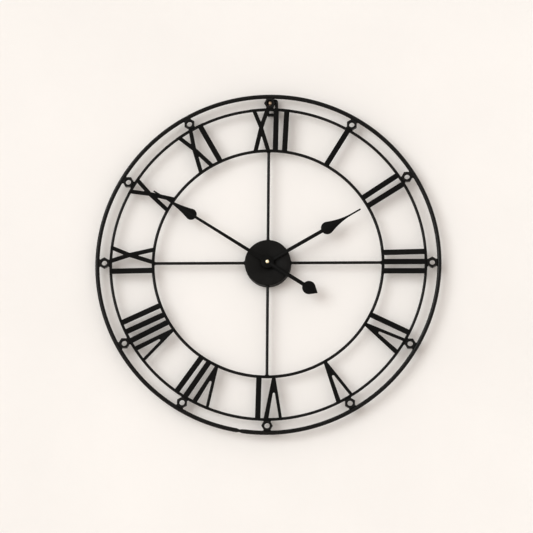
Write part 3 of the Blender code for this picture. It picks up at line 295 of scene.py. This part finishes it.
def piece(name, mesh, surface, body, replaces=(), sharp=35):
    """A smooth-shaded object of a bmesh that rides on a CAD body."""
    bmesh.ops.recalc_face_normals(mesh, faces=mesh.faces)
    data = bpy.data.meshes.new(name)
    mesh.to_mesh(data)
    mesh.free()
    data.materials.append(surface)
    data.shade_smooth()
    data.set_sharp_from_angle(angle=math.radians(sharp))
    made = bpy.data.objects.new(name, data)
    bpy.context.scene.collection.objects.link(made)
    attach(made, body)
    if replaces:
        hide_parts(*replaces)
    return made


def skin(mesh, rings, closed=True):
    """Quads over a row of equal rings of points. closed joins the last ring to the first, and otherwise the two
    ends are filled in."""
    rows = [[mesh.verts.new(point) for point in ring] for ring in rings]
    pairs = list(zip(rows, rows[1:]))
    if closed:
        pairs.append((rows[-1], rows[0]))
    for lower, upper in pairs:
        for a, b, c, d in zip(lower, lower[1:] + lower[:1], upper[1:] + upper[:1], upper):
            mesh.faces.new((a, b, c, d))
    if not closed:
        mesh.faces.new(rows[0])
        mesh.faces.new(rows[-1])


def lathe(mesh, profile, centre, steps):
    """A closed body turned about the dial's depth axis through centre, from (radius, depth) points."""
    x, y = centre
    rings = []
    for radius, depth in profile:
        turns = (2 * math.pi * i / steps for i in range(steps))
        rings.append([dial(x + radius * math.cos(t), y + radius * math.sin(t), depth) for t in turns])
    skin(mesh, rings)


def arc(centre, radius, start, end, steps):
    """Points of a profile's rounded edge, with angles in degrees from the outward direction to the front."""
    angles = (math.radians(start + (end - start) * i / steps) for i in range(steps + 1))
    return [(centre[0] + radius * math.cos(a), centre[1] + radius * math.sin(a)) for a in angles]


def soften(mesh, width, segments, sharp):
    """Rounds the edges that are sharper than this angle, by a width in mm."""
    edges = [e for e in mesh.edges if e.is_manifold and e.calc_face_angle() > math.radians(sharp)]
    bmesh.ops.bevel(
        mesh,
        geom=edges,
        offset=width * MM,
        segments=segments,
        profile=0.6,
        affect="EDGES",
        clamp_overlap=True,
    )


def rough(mesh, verts, amount, scale):
    """Moves vertices by a smooth noise of up to amount mm."""
    for vert in verts:
        vert.co += noise.noise_vector(vert.co * scale) * amount * MM


def lump(mesh, centre, radius, stretch=(1, 1, 1), turn=None):
    """One lump of weld: a ball pulled out of round."""
    matrix = Matrix.Translation(centre)
    if turn is not None:
        matrix = matrix @ Matrix.Rotation(turn, 4, "Y")
    matrix = matrix @ Matrix.Diagonal((*stretch, 1))
    made = bmesh.ops.create_icosphere(mesh, subdivisions=2, radius=radius * MM, matrix=matrix)
    rough(mesh, made["verts"], 0.22 * radius, 700)


# ------------------------------------------------------------------ frame


def dip(angle, middle, half, depth):
    """A smooth notch of this depth round one angle, all in degrees and mm."""
    away = abs((angle - middle + 180) % 360 - 180) / half
    return depth * max(0.0, 1 - away) ** 1.5


def make_ring(name, size):
    """Round rod bent into a ring by hand, a little uneven, with the outer ring's two butt joints."""
    radius, rod, depth = size
    mesh = bmesh.new()
    rings = []
    for i in range(ROD_STEPS):
        angle = 360 * i / ROD_STEPS
        centre = around(radius, angle, depth)
        wave = noise.noise(centre * 14) * ROD_WAVE
        thin = 0.0
        if name == "outer_ring":
            thin = dip(angle, SEAM_ANGLE, SEAM_HALF, SEAM_DEPTH)
            thin += dip(angle, STEP_ANGLE, STEP_HALF, STEP_DEPTH)
        ring = []
        for k in range(ROD_SIDES):
            turn = 2 * math.pi * k / ROD_SIDES
            thickness = rod - 0.05 - thin
            out = radius - ROD_WAVE / 2 + wave / 2 + thickness * math.cos(turn)
            ring.append(around(out, angle, depth + thickness * math.sin(turn)))
        rings.append(ring)
    skin(mesh, rings)
    piece(f"{name}_rod", mesh, IRON, FRAME_BODY, (name,), sharp=60)


def nut_place(hour):
    """(clockwise angle, radius, low depth, high depth) of a nut."""
    low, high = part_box(f"hex_nut_{hour}")
    x, y, _ = local((low + high) / 2)
    return math.degrees(math.atan2(x, y)), math.hypot(x, y), -high.y / MM, -low.y / MM


def nut_flat():
    """Half the width across flats of the nuts, from the one at 12, whose flats face up and down."""
    low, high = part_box("hex_nut_12")
    return (high.z - low.z) / 2 / MM


def make_nut(hour):
    """A chamfered hexagon nut with a real thread in its bore."""
    angle, radius, low, high = nut_place(hour)
    flat = nut_flat() - 0.03
    tall = high - low
    mesh = bmesh.new()
    turns = [2 * math.pi * i / NUT_STEPS for i in range(NUT_STEPS)]
    thread_rows = 40

    def hexagon(turn):
        off_flat = (turn + math.pi / 6) % (math.pi / 3) - math.pi / 6
        return flat / math.cos(off_flat)

    def loop(shape):
        points = []
        for turn in turns:
            out, depth = shape(turn)
            across, along = out * math.sin(turn), out * math.cos(turn)
            swing = math.radians(angle)
            x = across * math.cos(swing) + (radius + along) * math.sin(swing)
            y = (radius + along) * math.cos(swing) - across * math.sin(swing)
            points.append(dial(x, y, depth))
        return points

    def chamfer(turn):
        return max(0.0, hexagon(turn) - NUT_FACE) * NUT_CHAMFER

    rings = [
        loop(lambda t: (NUT_BORE + THREAD_MOUTH, high)),
        loop(lambda t: (NUT_FACE, high)),
        loop(lambda t: (hexagon(t), high - 0.12 - chamfer(t))),
        loop(lambda t: (hexagon(t), low + 0.12 + chamfer(t))),
        loop(lambda t: (NUT_FACE, low)),
        loop(lambda t: (NUT_BORE + THREAD_MOUTH, low)),
    ]
    for row in range(thread_rows + 1):
        depth = low + THREAD_MOUTH + (tall - 2 * THREAD_MOUTH) * row / thread_rows

        def threaded(turn, depth=depth):
            phase = (depth / THREAD_PITCH - turn / (2 * math.pi)) % 1
            return NUT_BORE + THREAD_DEPTH * (1 - abs(2 * phase - 1)) - 0.05, depth

        rings.append(loop(threaded))
    skin(mesh, rings)
    piece(f"nut_{hour}", mesh, IRON, FRAME_BODY, (f"hex_nut_{hour}",), sharp=25)


def make_nut_welds():
    """Beads along each nut's flats, where it meets the outer and the middle ring."""
    mesh = bmesh.new()
    for hour in HOURS:
        angle, radius, low, high = nut_place(hour)
        for way, ring in ((1, OUTER), (-1, MIDDLE)):
            edge = ring[0] - way * ring[1]
            for side in (-1, 1):
                depth = ring[2] + side * ring[1] * 0.55
                for i in range(-BEADS_BESIDE, BEADS_BESIDE + 1):
                    off = math.degrees(BEAD_PITCH * i / radius)
                    reach = edge + way * 0.35 - way * 0.25 * (abs(i) == BEADS_BESIDE)
                    place = around(reach, angle + off, depth)
                    size = BEAD * (0.92 + 0.16 * noise.noise(place * 900))
                    lump(mesh, place, size, (1.0, 0.8, 1.0))
    piece("nut_welds", mesh, IRON_WELD, FRAME_BODY, sharp=80)


def clean_plate(name):
    mesh = bmesh.new()
    mesh.from_mesh(frame["nodes"][name].data)
    bmesh.ops.remove_doubles(mesh, verts=mesh.verts, dist=2e-6)
    bmesh.ops.dissolve_limit(
        mesh, angle_limit=math.radians(0.5), verts=mesh.verts, edges=mesh.edges
    )
    return mesh


def corners_at_rings(mesh):
    """The inner corners of a numeral's plate where a stroke meets a web: their (x, y) places on the dial."""
    found = []
    for edge in mesh.edges:
        if not edge.is_manifold:
            continue
        along = (edge.verts[0].co - edge.verts[1].co).normalized()
        if abs(along.y) < 0.99 or edge.is_convex or edge.calc_face_angle() < math.radians(40):
            continue
        x, y, _ = local(edge.verts[0].co)
        out = math.hypot(x, y)
        if abs(out - MIDDLE[0]) < 4 or abs(out - INNER[0]) < 4:
            found.append((x, y))
    return found


def make_numerals():
    """The plates, their cut edges rounded, and the weld in each corner between a stroke and a ring."""
    welds = bmesh.new()
    for hour in HOURS:
        name = f"numeral_{hour}"
        mesh = clean_plate(name)
        for x, y in corners_at_rings(mesh):
            out = math.hypot(x, y)
            ring = MIDDLE if out > (MIDDLE[0] + INNER[0]) / 2 else INNER
            reach = out + (0.6 if ring is MIDDLE else -0.6)
            place = dial(x * reach / out, y * reach / out, ring[2] + ring[1] * 0.55)
            lump(welds, place, BEAD * 0.95, (1.0, 1.1, 1.0))
        soften(mesh, PLATE_EDGE, 2, 30)
        piece(f"{name}_plate", mesh, IRON_PLATE, FRAME_BODY, (name,), sharp=50)
    piece("numeral_welds", welds, IRON_WELD, FRAME_BODY, sharp=80)


def make_spokes():
    """Four rods from the pan's rim to the inner ring, with weld round both ends."""
    low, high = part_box("spoke_top")
    rod = (high.x - low.x) / 2 / MM
    start, end = local(low)[1], local(high)[1]
    depth = -(low.y + high.y) / 2 / MM
    welds = bmesh.new()
    for name, angle in SPOKES.items():
        mesh = bmesh.new()
        rings = []
        steps = 40
        across = math.degrees(1)
        for i in range(steps + 1):
            out = start + (end - start) * i / steps
            wave = noise.noise(around(out, angle, depth) * 30) * ROD_WAVE
            ring = []
            for k in range(ROD_SIDES):
                turn = 2 * math.pi * k / ROD_SIDES
                side = (rod - 0.02) * math.cos(turn) + wave * 0.15
                off = across * math.atan2(side, out)
                ring.append(around(math.hypot(side, out), angle + off, depth + (rod - 0.02) * math.sin(turn)))
            rings.append(ring)
        skin(mesh, rings, closed=False)
        piece(f"spoke_{name}_rod", mesh, IRON, FRAME_BODY, (f"spoke_{name}",), sharp=60)
        for out in (start + 0.2, end - 0.1):
            for k in range(8):
                turn = 2 * math.pi * k / 8
                side = rod * 1.02 * math.cos(turn)
                off = across * side / out
                lump(welds, around(out, angle + off, depth + rod * 1.02 * math.sin(turn)), 0.95)
    piece("spoke_welds", welds, IRON_WELD, FRAME_BODY, sharp=80)


def make_hanger():
    """The hanger loop: bent rod with its two ends butted, welded to the nut and the middle ring."""
    low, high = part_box("hanger_loop")
    left, bottom, _ = local(low)
    right, top, _ = local(high)
    rod = (high.y - low.y) / 2 / MM
    depth = -(low.y + high.y) / 2 / MM
    inset = rod + LOOP_CORNER
    centres = [(right, top, -1, -1), (left, top, 1, -1), (left, bottom, 1, 1), (right, bottom, -1, 1)]
    path = []
    for quarter, (x, y, way_x, way_y) in enumerate(centres):
        for i in range(9):
            turn = math.radians(90 * quarter + 90 * i / 8)
            across = x + way_x * inset + LOOP_CORNER * math.cos(turn)
            path.append(Vector((across, y + way_y * inset + LOOP_CORNER * math.sin(turn))))
    mesh = bmesh.new()
    rings = []
    for i, here in enumerate(path):
        ahead, behind = path[(i + 1) % len(path)], path[i - 1]
        along = (ahead - behind).normalized()
        side = Vector((along.y, -along.x))
        ring = []
        for k in range(ROD_SIDES):
            turn = 2 * math.pi * k / ROD_SIDES
            spot = here + side * (rod - 0.03) * math.cos(turn)
            ring.append(dial(spot.x, spot.y, depth + (rod - 0.03) * math.sin(turn)))
        rings.append(ring)
    skin(mesh, rings)
    piece("hanger_loop_rod", mesh, IRON, FRAME_BODY, ("hanger_loop",), sharp=60)

    welds = bmesh.new()
    for x in (left + rod, right - rod):
        for y in (MIDDLE[0] - 1.8, MIDDLE[0] - 0.2, MIDDLE[0] + 1.6):
            for side in (-1, 1):
                lump(welds, dial(x + side * rod * 0.8, y, depth + rod * 0.85), 1.15)
    piece("hanger_welds", welds, IRON_WELD, FRAME_BODY, sharp=80)


def make_pan():
    """The hub pan, pressed from sheet: a flat front with a rolled edge, a deep rim and a returned lip."""
    outside, inside = PAN_RADIUS - 0.02, PAN_RADIUS - PAN_SHEET
    bend = (outside - PAN_BEND, PAN_FRONT - PAN_BEND)
    profile = [(PAN_HOLE, PAN_FRONT - 0.1), (PAN_HOLE + 0.15, PAN_FRONT)]
    profile += [(outside - PAN_BEND - 4, PAN_FRONT), *arc(bend, PAN_BEND, 90, 0, 8)]
    profile += [(outside, 1.0), (outside, 0.3), (outside - 0.3, 0.02), (inside + 0.3, 0.02), (inside, 0.3)]
    inner_bend = PAN_BEND - PAN_SHEET
    profile += arc((inside - inner_bend, PAN_FRONT - PAN_BEND), inner_bend, 0, 90, 4)
    profile += [(PAN_HOLE, PAN_FRONT - PAN_SHEET)]
    mesh = bmesh.new()
    lathe(mesh, profile, (0, 0), 160)
    piece("hub_pan_pressing", mesh, IRON_PAN, FRAME_BODY, ("hub_pan",), sharp=40)


# ------------------------------------------------------------------ hands


def make_hands():
    for name, body in (("hour_hand", "hour_train"), ("minute_hand", "minute_train")):
        mesh = clean_plate(name)
        soften(mesh, HAND_EDGE, 2, 40)
        piece(f"{name}_blade", mesh, IRON_PLATE, body, (name,), sharp=50)


def make_hand_nut():
    """The domed brass nut on the minute arbor."""
    low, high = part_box("hand_nut")
    radius = (high.x - low.x) / 2 / MM
    base, top = -high.y / MM, -low.y / MM
    bore = 1.4
    profile = [(bore, base + 0.2), (bore + 0.2, base), (radius - 0.25, base), (radius, base + 0.25)]
    profile += [(radius, base + 0.9), (radius - 0.18, base + 1.05), (radius, base + 1.2), (radius, top - 1.9)]
    profile += arc((radius - 1.7, top - 1.75), 1.7, 0, 78, 10)
    profile += [(0.3, top - 0.02), (0.02, top), (0.02, base + 2.3), (bore, base + 2.3)]
    mesh = bmesh.new()
    lathe(mesh, profile, (0, 0), 64)
    piece("hand_nut_dome", mesh, BRASS_TURNED, "minute_train", ("hand_nut",), sharp=40)


# ------------------------------------------------------------------ movement


def make_case():
    """The two plastic shells with their moulded edges softened."""
    for name in ("movement_front_case", "movement_back_case"):
        mesh = clean_plate(name)
        soften(mesh, MOULD_EDGE, 2, 30)
        piece(f"{name}_shell", mesh, BLACK_PLASTIC, FRAME_BODY, (name,), sharp=50)


def make_battery():
    """A plain AA cell: a steel can in a plain printed sleeve, with a stepped button."""
    low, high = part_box("battery")
    left, low_y, _ = local(low)
    right, high_y, _ = local(high)
    radius = (high_y - low_y) / 2
    up = (high_y + low_y) / 2
    depth = -(low.y + high.y) / 2 / MM
    button = right - BUTTON_LENGTH
    steps = 64

    def turn_about_x(profile):
        rings = []
        for x, out in profile:
            turns = (2 * math.pi * i / steps for i in range(steps))
            rings.append([dial(x, up + out * math.cos(t), depth + out * math.sin(t)) for t in turns])
        return rings

    edge = SLEEVE_EDGE
    side = radius - edge - SLEEVE_INSET
    quarter = [math.radians(a) for a in (0, 30, 60, 90)]
    profile = [(left + 0.15, radius - 1.1)]
    profile += [(left + edge - edge * math.cos(a), side + edge * math.sin(a)) for a in quarter]
    profile += [(button - 0.55 + edge * math.sin(a), side + edge * math.cos(a)) for a in quarter]
    profile += [(button - 0.3, radius - 1.0)]
    sleeve = bmesh.new()
    skin(sleeve, turn_about_x(profile), closed=False)
    piece("battery_sleeve", sleeve, battery_sleeve(left, right), "battery_cell", ("battery",))

    button_end = [
        (button - 0.5, radius - 1.2),
        (button - CAP_LOW, radius - CAP_RIM),
        (button - CAP_LOW, 3.4),
        (button + CAP_LOW, BUTTON_RADIUS + 0.1),
        (right - 0.2, BUTTON_RADIUS),
        (right, BUTTON_RADIUS - BUTTON_EDGE),
        (right, 0.02),
        (button - 0.5, 0.02),
    ]
    flat_end = [
        (left + 0.3, radius - 1.3),
        (left + CAP_LOW, radius - CAP_RIM),
        (left + CAP_LOW, 3.9),
        (left, 3.6),
        (left, 0.02),
        (left + 0.3, 0.02),
    ]
    ends = bmesh.new()
    skin(ends, turn_about_x(button_end))
    skin(ends, turn_about_x(flat_end))
    piece("battery_caps", ends, STEEL, "battery_cell")


def battery_sleeve(left, right):
    """A printed plastic sleeve: dark blue, with a silver band at the button's end."""
    made, tree, shader, place = new_material("battery_sleeve")
    split = node(tree, "SeparateXYZ")
    tree.links.new(place, split.inputs["Vector"])
    start, end = HAND_AXIS.x + left * MM, HAND_AXIS.x + right * MM
    along = node(tree, "MapRange")
    along.inputs["From Min"].default_value = start
    along.inputs["From Max"].default_value = end
    tree.links.new(split.outputs["X"], along.inputs["Value"])
    bands = ramp(
        tree,
        along.outputs["Result"],
        [
            (0.0, (0.012, 0.03, 0.10)),
            (BAND_START, (0.015, 0.04, 0.13)),
            (BAND_START + 0.005, (0.45, 0.45, 0.46)),
            (1.0, (0.55, 0.55, 0.55)),
        ],
    )
    haze = ramp(tree, clouds(tree, place, 200, 4, 0.6), [(0.3, (0.85, 0.85, 0.85)), (0.7, (1, 1, 1))])
    mix = node(tree, "Mix", data_type="RGBA", blend_type="MULTIPLY")
    mix.inputs["Factor"].default_value = 1.0
    tree.links.new(bands, mix.inputs["A"])
    tree.links.new(haze, mix.inputs["B"])
    tree.links.new(mix.outputs["Result"], shader.inputs["Base Color"])
    tree.links.new(spread(tree, clouds(tree, place, 300, 3, 0.5), 0.24, 0.34), shader.inputs["Roughness"])
    add_bump(tree, shader, [(clouds(tree, place, 150, 3, 0.5), 0.00004)])
    return made


def finish_cad_nodes():
    """Gives every CAD node that still shows the procedural material of its slot."""
    slots = {part["node"]: part["material_slot"] for part in frame["record"]["subparts"]}
    for name, cad in frame["nodes"].items():
        surface = SLOT_MATERIALS.get(slots[name])
        if surface is None:
            continue
        for held in cad.material_slots:
            held.material = surface


# ------------------------------------------------------------------ stage


def plane(name, corners, surface):
    mesh = bpy.data.meshes.new(name)
    mesh.from_pydata(corners, [], [(0, 1, 2, 3)])
    mesh.materials.append(surface)
    made = bpy.data.objects.new(name, mesh)
    bpy.context.scene.collection.objects.link(made)
    return made


def wall_paint():
    """Warm white wall paint that lets light and sight through from behind, so the clock's back can be seen."""
    made, tree, shader, place = new_material("wall_paint")
    tone = clouds(tree, place, 3, 4, 0.5)
    tree.links.new(
        ramp(tree, tone, [(0.3, (0.79, 0.785, 0.78)), (0.7, (0.82, 0.815, 0.81))]),
        shader.inputs["Base Color"],
    )
    shader.inputs["Roughness"].default_value = 0.9
    shader.inputs["Specular IOR Level"].default_value = 0.1
    add_bump(tree, shader, [(clouds(tree, place, 350, 3, 0.5), 0.00006)])
    behind = node(tree, "NewGeometry").outputs["Backfacing"]
    shadow = node(tree, "LightPath").outputs["Is Shadow Ray"]
    either = node(tree, "Math", operation="MAXIMUM")
    tree.links.new(behind, either.inputs[0])
    tree.links.new(shadow, either.inputs[1])
    clear = node(tree, "BsdfTransparent")
    mix = node(tree, "MixShader")
    tree.links.new(either.outputs["Value"], mix.inputs["Fac"])
    tree.links.new(shader.outputs["BSDF"], mix.inputs[1])
    tree.links.new(clear.outputs["BSDF"], mix.inputs[2])
    tree.links.new(mix.outputs["Shader"], tree.nodes["Material Output"].inputs["Surface"])
    return made


def floor_paint():
    made, tree, shader, place = new_material("floor_paint")
    tone = clouds(tree, place, 2, 4, 0.5)
    tree.links.new(
        ramp(tree, tone, [(0.3, (0.70, 0.67, 0.64)), (0.7, (0.76, 0.73, 0.70))]),
        shader.inputs["Base Color"],
    )
    shader.inputs["Roughness"].default_value = 0.7
    return made


def make_stage():
    wide, low, high, deep = 8.0, -5.6, 6.0, 9.0  # in metres
    behind = 0.0006  # the wall's gap behind the clock
    plane(
        "wall",
        [(-wide, behind, low), (wide, behind, low), (wide, behind, high), (-wide, behind, high)],
        wall_paint(),
    )
    plane(
        "floor",
        [(-wide, -deep, low), (wide, -deep, low), (wide, deep, low), (-wide, deep, low)],
        floor_paint(),
    )
    mesh = bmesh.new()
    screw = (-HAND_AXIS.x / MM, -HAND_AXIS.z / MM - 2.9)
    profile = [(2.0, -0.4), (2.0, 14.0), (4.1, 14.6), (4.1, 15.6), (3.6, 16.4), (2.2, 17.0), (0.9, 17.2)]
    profile += [(0.9, 16.3), (0.02, 16.2), (0.02, -0.4)]
    lathe(mesh, profile, screw, 32)
    bmesh.ops.recalc_face_normals(mesh, faces=mesh.faces)
    data = bpy.data.meshes.new("wall_screw")
    mesh.to_mesh(data)
    mesh.free()
    data.materials.append(SCREW_ZINC)
    data.shade_smooth()
    data.set_sharp_from_angle(angle=math.radians(35))
    made = bpy.data.objects.new("wall_screw", data)
    bpy.context.scene.collection.objects.link(made)


def area_light(name, direction, away, size, power, colour):
    """A square light in this direction from the clock, turned towards it."""
    data = bpy.data.lights.new(name, "AREA")
    data.shape = "SQUARE"
    data.size = size
    data.energy = power
    data.color = colour
    made = bpy.data.objects.new(name, data)
    towards = Vector(direction).normalized()
    made.location = HAND_AXIS + towards * away
    made.rotation_euler = towards.to_track_quat("Z", "Y").to_euler()
    bpy.context.scene.collection.objects.link(made)


def make_lights():
    sky = bpy.data.lights.new("window", "SUN")
    sky.angle = math.radians(WINDOW_SPREAD)
    sky.energy = WINDOW_POWER
    sky.color = WINDOW_COLOUR
    window = bpy.data.objects.new("window", sky)
    window.rotation_euler = Vector(WINDOW_SIDE).to_track_quat("Z", "Y").to_euler()
    bpy.context.scene.collection.objects.link(window)
    area_light("back", (-0.5, 1.0, 0.6), 3.0, 1.6, BACK_POWER, (1.0, 0.99, 0.97))
    world = bpy.data.worlds.new("studio")
    world.use_nodes = True
    background = world.node_tree.nodes["Background"]
    background.inputs["Color"].default_value = (*ROOM_COLOUR, 1.0)
    background.inputs["Strength"].default_value = ROOM_LIGHT
    bpy.context.scene.world = world
    bpy.context.scene.view_settings.view_transform = "Standard"
    bpy.context.scene.view_settings.gamma = CONTRAST


def make_camera():
    data = bpy.data.cameras.new("camera")
    data.lens = CAMERA_LENS
    camera = bpy.data.objects.new("camera", data)
    camera.location = dial(*CAMERA_PLACE)
    towards = dial(*CAMERA_AIM) - camera.location
    roll = Quaternion((0, 0, 1), math.radians(CAMERA_ROLL))
    camera.rotation_euler = (towards.to_track_quat("-Z", "Y") @ roll).to_euler()
    bpy.context.scene.collection.objects.link(camera)
    bpy.context.scene.camera = camera


make_camera()
for ring_name, ring in (("outer_ring", OUTER), ("middle_ring", MIDDLE), ("inner_ring", INNER)):
    make_ring(ring_name, ring)
for number in HOURS:
    make_nut(number)
make_nut_welds()
make_numerals()
make_spokes()
make_hanger()
make_pan()
make_hands()
make_hand_nut()
make_case()
make_battery()
finish_cad_nodes()
make_stage()
make_lights()
